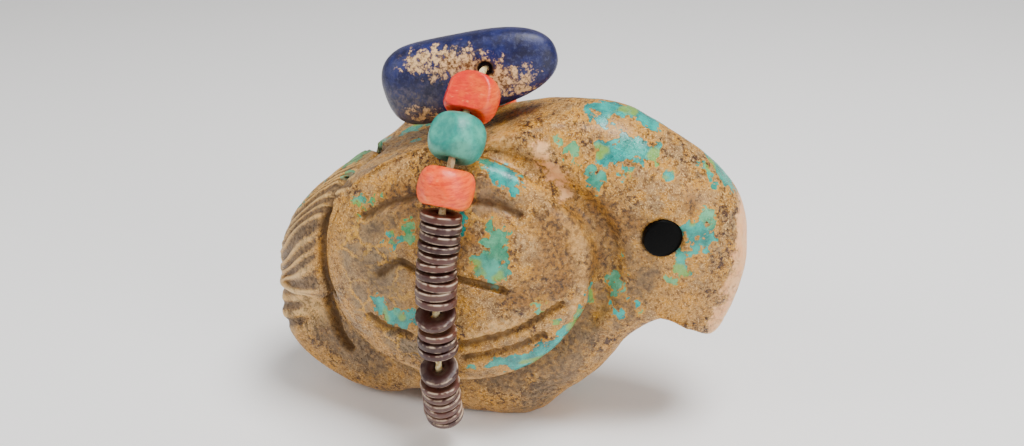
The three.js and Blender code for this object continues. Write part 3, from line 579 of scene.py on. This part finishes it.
def stone_look():
    """Tan, grey-brown and golden matrix with dark grains, a golden vein network, pinkish stone, and
    turquoise with ragged golden rims where the streak distance is negative; painted shade in the flute
    hollows, the cuts and below the wings' ledges, and painted highlight as pale stone."""
    look = Look("turquoise_stone")
    drift = look.vector("SUBTRACT", look.noise(0.5, 4.0, 0.65, out="Color"), (0.5, 0.5, 0.5))
    warped = look.vector("ADD", look.place, look.vector("SCALE", drift, Scale=2.2))
    broad = look.noise(0.16, 2.0)
    middling = look.noise(0.6, 4.0, 0.7)
    fine = look.noise(2.4, 5.0, 0.75)
    dust = look.noise(6.0, 3.0, 0.8)
    ground = look.blend(look.span(broad, 0.4, 0.62), srgb(182, 140, 90), srgb(150, 124, 94))
    ground = look.blend(look.span(middling, 0.42, 0.6), ground, srgb(198, 148, 82))
    ground = look.blend(look.span(middling, 0.58, 0.7), ground, srgb(122, 80, 42))
    ground = look.blend(look.span(fine, 0.48, 0.6, 0.0, 0.85), ground, srgb(98, 66, 36))
    ground = look.blend(look.span(dust, 0.53, 0.64, 0.0, 0.85), ground, srgb(236, 202, 150))
    pepper = look.noise(4.2, 4.0, 0.85)
    ground = look.blend(look.span(pepper, 0.52, 0.64, 0.0, 0.65), ground, srgb(92, 60, 32))
    region = look.span(look.noise(0.28, 3.0), 0.44, 0.6)
    granular = look.times(region, look.span(look.noise(1.9, 4.0, 0.75), 0.52, 0.6))
    ground = look.blend(granular, ground, srgb(70, 44, 24))

    edge = look.cells(0.38, warped, feature="DISTANCE_TO_EDGE")
    veined = look.span(look.value("veined"), 0.8, -0.8)
    cell = look.blend(look.span(fine, 0.4, 0.6), srgb(150, 128, 100), srgb(122, 106, 86))
    cell_share = look.span(look.noise(0.3, 2.0), 0.4, 0.55, 0.2, 0.9)
    cell_share = look.times(look.span(edge, 0.03, 0.12), cell_share)
    ground = look.blend(look.times(veined, cell_share), ground, cell)
    line = look.times(look.span(edge, 0.06, 0.015), look.span(veined, 0.0, 1.0, 0.06, 0.5))
    ground = look.blend(line, ground, srgb(214, 172, 104))

    wander = look.span(look.noise(0.55, 4.0, 0.7), 0.25, 0.75, -1.0, 1.0)
    coarse = look.noise(1.7, 4.0, 0.75)
    # Grey-brown, pale and rusty stone near their streaks; the pale stone is a painted highlight.
    for name, reach, low, high in (
        ("grey", 0.9, srgb(126, 104, 78), srgb(88, 72, 56)),
        ("pale", 0.7, srgb(222, 186, 138), srgb(196, 150, 100)),
        ("rusty", 0.8, srgb(150, 108, 48), srgb(66, 48, 26)),
    ):
        near = look.plus(look.value(name), wander)
        there = look.times(look.span(near, reach, -reach), look.span(coarse, 0.36, 0.56, 0.45, 0.95))
        ground = look.blend(there, ground, look.blend(look.span(fine, 0.4, 0.62), low, high))
    pink = look.plus(look.value("pink"), look.times(wander, 0.9))
    flesh = look.blend(look.span(middling, 0.35, 0.65), srgb(255, 200, 156), srgb(255, 188, 146))
    flesh = look.blend(look.span(dust, 0.5, 0.72, 0.0, 0.2), flesh, srgb(190, 146, 116))
    ground = look.blend(look.span(pink, 0.35, -0.35, 0.0, 0.92), ground, flesh)

    ragged = look.span(look.noise(0.9, 4.0, 0.6), 0.25, 0.75, -0.75, 0.75)
    density = 0.24
    speck = look.cells(density, warped)
    size = look.node("ShaderNodeSeparateColor", {0: look.cells(density, warped, out="Color")})
    mask = look.span(look.noise(0.12, 1.0), 0.42, 0.6, -0.6, 0.25)
    radius = look.plus(look.span(size, 0.45, 1.0, -0.7, 0.75), mask)
    speck = look.maths("SUBTRACT", look.times(speck, 1 / density), radius)
    patch = look.plus(look.value("patch"), ragged)
    holes = look.times(look.span(look.noise(1.3, 3.0), 0.6, 0.68), 0.9)
    patch = look.plus(look.maths("MINIMUM", patch, speck), holes)
    colour = look.blend(look.span(patch, 0.5, 0.05, 0.0, 0.6), ground, srgb(204, 152, 76))
    cloud = look.span(look.noise(0.7, 4.0), 0.35, 0.65)
    teal = look.blend(cloud, srgb(16, 112, 108), srgb(66, 164, 154))
    green = look.blend(cloud, srgb(84, 146, 104), srgb(130, 174, 124))
    teal = look.blend(look.value("green"), teal, green)
    lime = look.span(look.noise(0.33, 2.0), 0.56, 0.64, 0.0, 0.7)
    teal = look.blend(lime, teal, srgb(142, 164, 74))
    colour = look.blend(look.span(patch, 0.08, -0.06), colour, teal)

    # Paler on the fan's and tail's ridges outside the turquoise, and painted shade, grey-brown, in the
    # flute hollows.
    shaded_hollow = look.value("hollow")
    bare = look.span(patch, -0.06, 0.3, 0.15, 0.7)
    pale = look.blend(look.times(look.value("ridge"), bare), colour, srgb(240, 204, 152))
    shade = look.blend(look.span(fine, 0.4, 0.6), srgb(122, 100, 76), srgb(78, 60, 42))
    colour = look.blend(look.span(shaded_hollow, 0.3, 0.8, 0.0, 0.85), pale, shade)
    # Painted shade in the cuts: darker brown in the groove, feather strokes, mouth line, valleys and eye
    # seats, and below the wings' ledges.
    cut = look.value("cut")
    cut_shade = look.times(look.span(cut, 0.15, 0.8), look.span(middling, 0.3, 0.6, 1.0, 0.65))
    colour = look.blend(cut_shade, colour, srgb(100, 76, 50))
    inside = look.span(patch, 0.1, -0.2)
    roughness = look.blend(inside, (0.46, 0.46, 0.46, 1), (0.26, 0.26, 0.26, 1))
    roughness = look.plus(roughness, look.span(fine, 0.4, 0.7, -0.06, 0.16))
    roughness = look.plus(roughness, look.times(look.maths("MAXIMUM", cut, shaded_hollow), 0.25))
    grit = look.times(look.plus(fine, granular), look.span(inside, 0.0, 1.0, 1.0, 0.25))
    return look.close(colour, roughness, grit, 0.16, **{"Coat Weight": 0.16, "Coat Roughness": 0.22})


def lapis_look():
    """Deep blue with lighter clouds; cream and brown specks where the band distance is
    negative; grey-brown over the left side."""
    look = Look("lapis")
    cloud = look.noise(0.5, 4.0, 0.7)
    fine = look.noise(2.2, 5.0, 0.8)
    blue = look.blend(look.span(cloud, 0.35, 0.65), srgb(16, 18, 52), srgb(38, 44, 90))
    blue = look.blend(look.span(fine, 0.5, 0.66, 0.0, 0.5), blue, srgb(88, 90, 120))
    grey = look.blend(look.span(fine, 0.44, 0.58), srgb(70, 72, 96), srgb(120, 108, 94))
    blue = look.blend(look.times(look.value("grey"), look.span(cloud, 0.3, 0.6)), blue, grey)
    edge = look.span(look.noise(1.1, 5.0, 0.75), 0.25, 0.75, -1.4, 1.4)
    band = look.plus(look.value("band"), edge)
    speck = look.blend(look.span(fine, 0.42, 0.58), srgb(222, 190, 152), srgb(96, 66, 42))
    colour = look.blend(look.span(band, 0.5, -0.3), blue, speck)
    # Painted shade: near black in the mouth of the bore.
    colour = look.blend(look.span(look.value("hole"), 0.2, 0.8), colour, srgb(24, 22, 34))
    return look.close(colour, look.span(fine, 0.3, 0.7, 0.28, 0.42), fine, 0.06)


def coral_look():
    """Salmon with warmer orange and pale clouds, and fine streaks across."""
    look = Look("coral")
    cloud = look.noise(0.32, 3.0, 0.6)
    fine = look.noise(1.6, 5.0, 0.75)
    stretched = look.vector("MULTIPLY", look.place, (0.5, 0.8, 3.0))
    colour = look.blend(look.value("tone"), srgb(212, 80, 58), srgb(244, 116, 10))
    colour = look.blend(look.span(cloud, 0.45, 0.68, 0.0, 0.45), colour, srgb(242, 150, 96))
    grain = look.noise(1.3, 4.0, 0.7, place=stretched)
    colour = look.blend(look.span(grain, 0.45, 0.62, 0.0, 0.6), colour, srgb(190, 66, 52))
    colour = look.blend(look.span(grain, 0.42, 0.3, 0.0, 0.45), colour, srgb(250, 170, 130))
    return look.close(colour, 0.36, fine, 0.05, **{"Subsurface Weight": 0.06, "Subsurface Scale": MM})


def turquoise_look():
    """Green-blue with paler clouds and a few dark pits."""
    look = Look("turquoise")
    cloud = look.noise(0.45, 4.0, 0.65)
    fine = look.noise(2.0, 5.0, 0.75)
    colour = look.blend(look.span(cloud, 0.36, 0.66), srgb(52, 130, 120), srgb(104, 172, 154))
    colour = look.blend(look.span(fine, 0.5, 0.7, 0.0, 0.45), colour, srgb(50, 116, 104))
    pit = look.span(look.cells(0.9), 0.13, 0.05)
    pit = look.times(pit, look.span(look.noise(0.3, 1.0), 0.5, 0.6))
    colour = look.blend(pit, colour, srgb(58, 44, 34))
    return look.close(colour, 0.33, look.maths("SUBTRACT", fine, pit), 0.06)


def shell_look():
    """Purple-brown, one tone to a disc, with a painted highlight towards its rim."""
    look = Look("shell")
    fine = look.noise(2.2, 4.0, 0.7)
    colour = look.blend(look.value("tone"), srgb(56, 32, 30), srgb(92, 60, 52))
    colour = look.blend(look.span(fine, 0.4, 0.65, 0.0, 0.5), colour, srgb(66, 46, 46))
    # Painted highlight along the discs' edges.
    rim = look.times(look.value("rim"), look.span(look.noise(1.1, 2.0), 0.42, 0.6))
    colour = look.blend(rim, colour, srgb(206, 186, 166))
    return look.close(colour, 0.4, fine, 0.05)


def thread_look():
    """Cream sinew with darker strands."""
    look = Look("thread")
    strands = look.span(look.noise(2.5, 4.0), 0.4, 0.65)
    colour = look.blend(strands, srgb(226, 212, 176), srgb(176, 152, 112))
    return look.close(colour, 0.75)


def jet_look():
    """Near black with a soft shine."""
    look = Look("jet")
    fine = look.noise(3.0, 4.0, 0.7)
    colour = look.blend(look.span(fine, 0.4, 0.7), srgb(1, 1, 2), srgb(14, 13, 15))
    return look.close(colour, 0.34, fine, 0.04, **{"Specular IOR Level": 0.06})


def middle_of(node):
    """Middle of a CAD node's box, in millimetres."""
    low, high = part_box(node)
    return (np.array(low) + np.array(high)) / 2 / MM


def eye_seat(side):
    """Middle of an eye at the stone's surface, and the way it faces."""
    turn = np.radians(EYE_TURN)
    way = np.array([side * np.cos(turn), -np.sin(turn), 0])
    return middle_of(f"eye_{SIDE_NAME[side]}") + EYE_RISE * way, way


def cut_lines(side):
    """A side's cuts as path, half width and depth: groove, feather strokes, mouth line."""
    way = eased_path(GROOVE, 140)
    yield body_point(way[:, 0], side, way[:, 1])[0], GROOVE_HALF, GROOVE_DEPTH
    for marks in STROKES[side]:
        yield wing_face(side, eased_path(marks, 40)), STROKE_HALF, STROKE_DEPTH
    station, start, half, depth = MOUTH
    yield body_point(np.full(30, station), side, np.linspace(start, 2, 30))[0], half, depth


def eye_hollow(points, side):
    """1 in an eye's round seat, easing to 0 at its edge."""
    centre, way = eye_seat(side)
    away = points - centre
    height = away @ way
    from_axis = np.linalg.norm(away - height[:, None] * way, axis=1)
    return smooth((EYE_RADIUS + SEAT_PLAY - from_axis) / 0.3) * (np.abs(height) < 3)


def carving(points):
    """How far each point of the body is pressed in, and how much painted shade its cut gets: cuts ease
    from their half width, valleys and eye seats likewise, over a surface uneven by hand."""
    push = unevenness(points, 12, 7.0, 0.07) + unevenness(points, 14, 2.6, 0.025)
    # cut: how much painted shade each point gets in a cut, a valley or an eye seat.
    cut = np.zeros(len(points))
    for side in (LEFT, RIGHT):
        for line, reach, depth in cut_lines(side):
            deep = smooth(1.5 * (1 - nearness(points, line) / reach))
            push -= depth * deep
            np.maximum(cut, deep * min(1, depth / 0.4), out=cut)
        start, end, share, reach, depth = VALLEY[side]
        line = body_point(np.linspace(start, end, 90), side, np.full(90, share))[0]
        valley = smooth(1 - nearness(points, line) / reach)
        push -= depth * valley
        np.maximum(cut, 0.3 * valley, out=cut)
        seat = eye_hollow(points, side)
        push -= SEAT_DEPTH * seat
        np.maximum(cut, 0.9 * seat, out=cut)
    return push, cut


def stone_marks(points, stations, shares, hollow, cut):
    """Numbers for the stone's look: distances to the streaks of each kind, how deep in a flute or a cut,
    where a ridge is paler, and painted shade below the wings' ledges and a painted highlight along the
    wings' edges."""
    # Painted shade on the band just below each wing's ledge, strongest where the step is tallest, and a
    # painted highlight just inside the oval's edge.
    ledge = round_oval(STEP[RIGHT], periodic(STATIONS[:, 2], stations, 360)) / max(STEP[RIGHT])
    ledge_shade = (ledge * (shares > 1) * smooth((1.45 - shares) / 0.4)).ravel()
    edge_highlight = (ledge * smooth(1 - np.abs(shares - 0.98) / 0.035)).ravel()
    turquoise = streak_distance(points, TURQUOISE)
    green = np.array([streak[7] for streak in TURQUOISE])[turquoise.argmin(0)]
    ridge = smooth((stations - TAIL_REAR - 0.2) / 0.8) * smooth((RUMP + 0.2 - stations) / 0.5)
    ridge = ridge * smooth((shares - 1.12) / 0.15) * (1 - smooth(hollow / 0.55))
    kinds = {"pink": PINK, "veined": VEINED, "rusty": RUSTY, "grey": GREY, "pale": PALE}
    values = {kind: streak_distance(points, streaks).min(0) for kind, streaks in kinds.items()}
    # The painted shade goes in as grey-brown stone and as shade in the cut; the painted highlight goes
    # in as pale stone.
    values["grey"] = np.minimum(values["grey"], 1.5 - 2.3 * ledge_shade)
    values["pale"] = np.minimum(values["pale"], 1.5 - 2.3 * edge_highlight)
    return {
        "patch": turquoise.min(0), "green": green, "hollow": hollow.ravel(),
        "cut": np.maximum(cut, 0.4 * ledge_shade), "ridge": ridge.ravel(), **values,
    }


def at_poles(values, columns):
    """Numbers of a grid's points with one kept of the first row and one of the last."""
    count = len(next(iter(values.values())))
    keep = np.concatenate([[0], np.arange(columns, count - columns), [count - columns]])
    return {key: numbers[keep] for key, numbers in values.items()}


def carved_bird():
    """The body: its grid of stations and shares, uneven by hand, cut by the groove, strokes
    and mouth line, with a shallow seat under each eye."""
    stations = np.arange(STATION_COLUMNS * len(STATIONS)) / STATION_COLUMNS
    shares = np.concatenate([
        np.linspace(0, 1, OVAL_ROWS), 1 + np.linspace(0, LEDGE, LEDGE_ROWS)[1:],
        np.linspace(1 + LEDGE, 2, BAND_ROWS)[1:],
    ])
    station, share = np.meshgrid(stations, shares)
    station = np.where(share < 1e-9, 0, station)
    half = {side: body_point(station, side, share) for side in (LEFT, RIGHT)}
    grid = np.concatenate([half[LEFT][0], half[RIGHT][0][-2::-1]])
    hollow = np.concatenate([half[LEFT][1], half[RIGHT][1][-2::-1]])
    all_shares = np.concatenate([shares, shares[-2::-1]])[:, None] + 0 * hollow
    all_stations = np.broadcast_to(stations, hollow.shape)
    normal = grid_normals(grid)
    normal[0], normal[-1] = (1, 0, 0), (-1, 0, 0)
    points = grid.reshape(-1, 3)
    push, cut = carving(points)
    points = points + push[:, None] * normal.reshape(-1, 3)
    points[:, 2] = np.maximum(points[:, 2], 0)
    values = at_poles(stone_marks(points, all_stations, all_shares, hollow, cut), len(stations))
    surface = skin(points.reshape(grid.shape))
    return piece("carved_bird", surface, stone_look(), "turquoise_stone", ["bird_body"], **values)


def inlaid_eye(side, look):
    """Flat jet disc: a turned profile with a soft edge and a slightly domed face."""
    centre, way = eye_seat(side)
    run = np.linspace(0, 1, 14)
    face = np.column_stack([EYE_RADIUS * 0.97 * (1 - run), 0.12 + 0.16 * (1 - (1 - run) ** 2)])
    wall = np.array([
        (0, -EYE_DEPTH), (EYE_RADIUS, -EYE_DEPTH), (EYE_RADIUS, -0.02), (EYE_RADIUS * 0.995, 0.06),
    ])
    surface = skin(turned(np.vstack([wall, face]), centre, way, 64))
    name = f"eye_inlay_{SIDE_NAME[side]}"
    return piece(name, surface, look, "jet", [f"eye_{SIDE_NAME[side]}"])


def square_axes(way):
    """Two unit vectors square to a way, or to each of several, and to each other."""
    first = unit(np.cross(way, (0, 1, 0)))
    return first, np.cross(way, first)


def turned(profile, centre, way, sides, lean=(0.0, 0.0)):
    """Profile of (radius, height) carried round a way through a centre; lean tips it towards
    the two directions square to the way."""
    first, second = square_axes(way)
    way = unit(way + lean[0] * first + lean[1] * second)
    first, second = square_axes(way)
    turn = np.linspace(0, 2 * np.pi, sides, endpoint=False)
    ring = np.cos(turn)[:, None] * first + np.sin(turn)[:, None] * second
    return centre + profile[:, 0][:, None, None] * ring + profile[:, 1][:, None, None] * way


def lapis_nugget():
    """Rounded bar: a superellipse section scaled along its length by a blunt swell, wider at the back,
    tilted front end up, with a dimple at each end of its bore, painted dark as shade."""
    reach = signed_power(-np.cos(np.linspace(0, np.pi, LAPIS_ROWS)), 0.8)
    swell = np.maximum(0, 1 - np.abs(reach) ** np.where(reach < 0, *LAPIS["blunt"])) ** 0.42
    turn = np.linspace(0, 2 * np.pi, LAPIS_COLUMNS, endpoint=False)
    width, height = (mix(*LAPIS[key], (reach + 1) / 2) for key in ("width", "height"))
    grid = np.stack([
        (width * swell / 2)[:, None] * signed_power(np.cos(turn), 0.8),
        (LAPIS["length"] / 2 * reach)[:, None] + 0 * turn,
        (height * swell / 2)[:, None] * signed_power(np.sin(turn), 0.8),
    ], -1)
    flat = grid.reshape(-1, 3)
    band = streak_distance(flat, LAPIS_BAND).min(0)
    rear = smooth((flat[:, 1] - 1.5) / 3) * smooth((1.6 - flat[:, 2]) / 2.5)
    grey = np.maximum(smooth((flat[:, 0] + 0.8) / 2.5) * 0.9, 0.75 * rear)
    shrink = 1 - (0.012 + unevenness(flat, 10, 8.0, 0.006))
    flat = flat * shrink[:, None]
    tilt = -np.radians(LAPIS["tilt"])
    y = flat[:, 1] * np.cos(tilt) - flat[:, 2] * np.sin(tilt) + LAPIS["y"]
    z = flat[:, 1] * np.sin(tilt) + flat[:, 2] * np.cos(tilt) + LAPIS["z"]
    # hole: where the bore's mouth is dimpled and gets painted shade.
    hole = smooth((1.0 - np.hypot(y - LAPIS_HOLE[0], z - LAPIS_HOLE[1])) / 0.5)
    x = flat[:, 0] * (1 - 0.35 * hole)
    values = at_poles({"band": band, "grey": grey, "hole": hole}, LAPIS_COLUMNS)
    surface = skin(np.stack([x, y, z], -1).reshape(grid.shape))
    return piece("lapis_bar", surface, lapis_look(), "lapis", ["lapis_nugget"], **values)


def mirrored(place, side):
    """A place of the left side, or its mirror place on the right."""
    return (side * place[0], place[1], place[2])


def strand(side):
    """Nodes of a strand's three beads and its discs, from the nugget outwards, their middles
    and the way of the thread through each."""
    name = SIDE_NAME[side]
    nodes = [f"coral_bead_{name}_upper", f"turquoise_bead_{name}", f"coral_bead_{name}_lower"]
    nodes += [f"heishi_{name}_{i:02d}" for i in range(1, DISC_COUNT[side] + 1)]
    stops = np.array([middle_of(node) for node in nodes])
    ways = np.gradient(np.vstack([mirrored(THREAD_EXIT, side), stops]), axis=0)[1:]
    return nodes, stops, unit(ways)


def bead(kind, centre, way, flats):
    """Barrel bead: its radius swells from the face as one less height to the power 2.4, to
    the power 0.5; then each flat presses the points beyond it back to its plane."""
    radius, face, length = BEADS[kind]
    half = length / 2
    rise = np.sin(np.linspace(-1, 1, 33) * np.pi / 2)
    outer = np.column_stack([face + (radius - face) * (1 - np.abs(rise) ** 2.4) ** 0.5, half * rise])
    inner = np.array([(face * 0.9, half), (BEAD_BORE + 0.12, half - 0.02), (BEAD_BORE, half - 0.15),
                      (BEAD_BORE, 0.15 - half), (BEAD_BORE + 0.12, 0.02 - half), (face * 0.9, -half)])
    grid = turned(np.vstack([outer, inner]), centre, way, 72)
    away = grid.reshape(-1, 3) - centre
    swell = unevenness(away, 8, 3.5, 0.02)
    away = away * (1 - 0.015 + np.minimum(swell, 0.012))[:, None]
    for direction, distance in flats:
        direction = unit(np.array(direction))
        over = np.maximum(0, away @ direction - distance)
        away = away - over[:, None] * direction
    return skin((centre + away).reshape(grid.shape), poles=False)


def strung_beads(side, looks):
    """The three beads of a strand."""
    nodes, stops, ways = strand(side)
    for i, node in enumerate(nodes[:3]):
        kind = "turquoise" if "turquoise" in node else "coral"
        points, faces = bead(kind, stops[i], ways[i], FLATS[side, i])
        tone = np.full(len(points), 1.0 if i == 2 else 0.1)
        place = ("first", "second", "third")[i]
        piece(f"{kind}_{SIDE_NAME[side]}_{place}", (points, faces), looks[kind], kind, [node], tone=tone)


def disc_strand(side, look):
    """Shell discs as one piece: each a turned ring with soft edges, its radius, lean and tone a little
    off its neighbour's; the value rim, a painted highlight, is highest along its two outer edges."""
    nodes, stops, ways = strand(side)
    half = DISC_THICKNESS / 2
    parts, tones, rims = [], [], []
    for i, (centre, way) in enumerate(zip(stops[3:], ways[3:]), 1):
        radius = DISC_RADIUS * random.uniform(0.93, 1.0)
        thick = half * random.uniform(0.74, 1.0)
        lower = np.array([
            (DISC_BORE, -thick), (radius * 0.6, -thick), (radius - 0.14, -thick),
            (radius - 0.03, -thick * 0.84), (radius, -thick * 0.5),
        ])
        profile = np.vstack([lower, lower[::-1] * (1, -1)])
        across = np.array([0, random.uniform(-0.07, 0.07), 0])
        askew = ASKEW_LEAN if i in ASKEW[side] else random.uniform(-0.04, 0.04)
        grid = turned(profile, centre + across, way, DISC_COLUMNS, (askew, random.uniform(-0.07, 0.07)))
        parts.append(skin(grid, poles=False))
        tones.append(np.full(len(profile) * DISC_COLUMNS, random.uniform(0, 1)))
        rims.append(np.repeat(DISC_RIM_HIGHLIGHT, DISC_COLUMNS))
    name = f"shell_discs_{SIDE_NAME[side]}"
    values = {"tone": np.concatenate(tones), "rim": np.concatenate(rims)}
    return piece(name, joined(parts), look, "shell", nodes[3:], **values)


def stringing_thread():
    """Two-ply sinew through everything: a tube whose radius follows the cosine of its turn
    less its twist, pinched to a point at both ends, and a swirled ball knot at each end."""
    route, knots = [], []
    for side in (RIGHT, LEFT):
        _, stops, ways = strand(side)
        knots.append(stops[-1] + ways[-1] * (DISC_THICKNESS / 2 + KNOT_GAP))
        start = [mirrored(THREAD_INSIDE, side), mirrored(THREAD_EXIT, side)]
        run = np.vstack([start, stops, knots[-1:]])
        route.append(run[::-1] if side == RIGHT else run)
    path = eased_path(np.vstack([route[0], [THREAD_MIDDLE], route[1]]), 1400)
    gone = np.concatenate([[0], np.cumsum(np.linalg.norm(np.diff(path, axis=0), axis=1))])
    even = np.linspace(0, gone[-1], THREAD_ROWS)
    path = np.column_stack([np.interp(even, gone, path[:, i]) for i in range(3)])
    first, second = square_axes(unit(np.gradient(path, axis=0)))
    turn = np.linspace(0, 2 * np.pi, THREAD_COLUMNS, endpoint=False)
    ply = np.abs(np.cos(turn[None] - (2 * np.pi * even / THREAD_TWIST)[:, None]))
    radius = THREAD_RADIUS * (0.7 + 0.3 * ply)
    radius[0], radius[-1] = 0, 0
    grid = path[:, None] + radius[..., None] * (
        np.cos(turn)[None, :, None] * first[:, None] + np.sin(turn)[None, :, None] * second[:, None])
    parts = [skin(grid)]
    down = np.linspace(0, np.pi, 25)[:, None]
    round_ = np.linspace(0, 2 * np.pi, 40, endpoint=False)[None]
    size = KNOT_RADIUS * (0.9 + 0.1 * np.sin(3 * round_ + 5 * down) * np.sin(down))
    flat = np.sin(down)
    ball = np.stack([flat * np.cos(round_), flat * np.sin(round_), np.cos(down) + 0 * round_], -1)
    parts += [skin(knot + size[..., None] * ball) for knot in knots]
    return piece("sinew_thread", joined(parts), thread_look(), "thread", ["stringing_thread"])


def floor_and_light():
    """Pale floor, a pale sky and soft lamps round the object."""
    mesh = bpy.data.meshes.new("floor")
    corners = [(FLOOR_HALF * x, FLOOR_HALF * y, 0) for x, y in ((-1, -1), (1, -1), (1, 1), (-1, 1))]
    mesh.from_pydata(corners, [], [(0, 1, 2, 3)])
    look = Look("floor")
    mesh.materials.append(look.close(srgb(252, 251, 250), 0.9))
    floor = bpy.data.objects.new("floor", mesh)
    bpy.context.scene.collection.objects.link(floor)
    world = bpy.data.worlds.new("sky")
    world.use_nodes = True
    background = world.node_tree.nodes["Background"]
    background.inputs["Color"].default_value = SKY
    background.inputs["Strength"].default_value = SKY_STRENGTH
    bpy.context.scene.world = world
    for name, place, size, power in LAMPS:
        data = bpy.data.lights.new(name, "AREA")
        data.size, data.energy = size, power
        lamp = bpy.data.objects.new(name, data)
        lamp.location = Vector(place) * MM
        lamp.rotation_euler = (Vector(LAMP_AIM) - lamp.location).to_track_quat("-Z", "Y").to_euler()
        bpy.context.scene.collection.objects.link(lamp)


def set_camera():
    """Stands back from the target by azimuth and elevation and looks at it, a little rolled."""
    round_, rise, roll = np.radians((AZIMUTH, ELEVATION, ROLL))
    flat = np.cos(rise)
    back = Vector((np.sin(round_) * flat, -np.cos(round_) * flat, np.sin(rise)))
    level = Vector((0, 0, 1)).cross(back).normalized()
    upright = back.cross(level)
    right = level * np.cos(roll) + upright * np.sin(roll)
    data = bpy.data.cameras.new("camera")
    data.lens, data.sensor_width, data.clip_start = LENS, SENSOR, NEAREST
    camera = bpy.data.objects.new("camera", data)
    place = (Vector(TARGET) + DISTANCE * back) * MM
    axes = Matrix((right, back.cross(right), back)).transposed()
    camera.matrix_world = Matrix.Translation(place) @ axes.to_4x4()
    bpy.context.scene.collection.objects.link(camera)
    bpy.context.scene.camera = camera


carved_bird()
lapis_nugget()
stringing_thread()
jet, shell = jet_look(), shell_look()
bead_looks = {"coral": coral_look(), "turquoise": turquoise_look()}
for which in (LEFT, RIGHT):
    inlaid_eye(which, jet)
    strung_beads(which, bead_looks)
    disc_strand(which, shell)
floor_and_light()
set_camera()
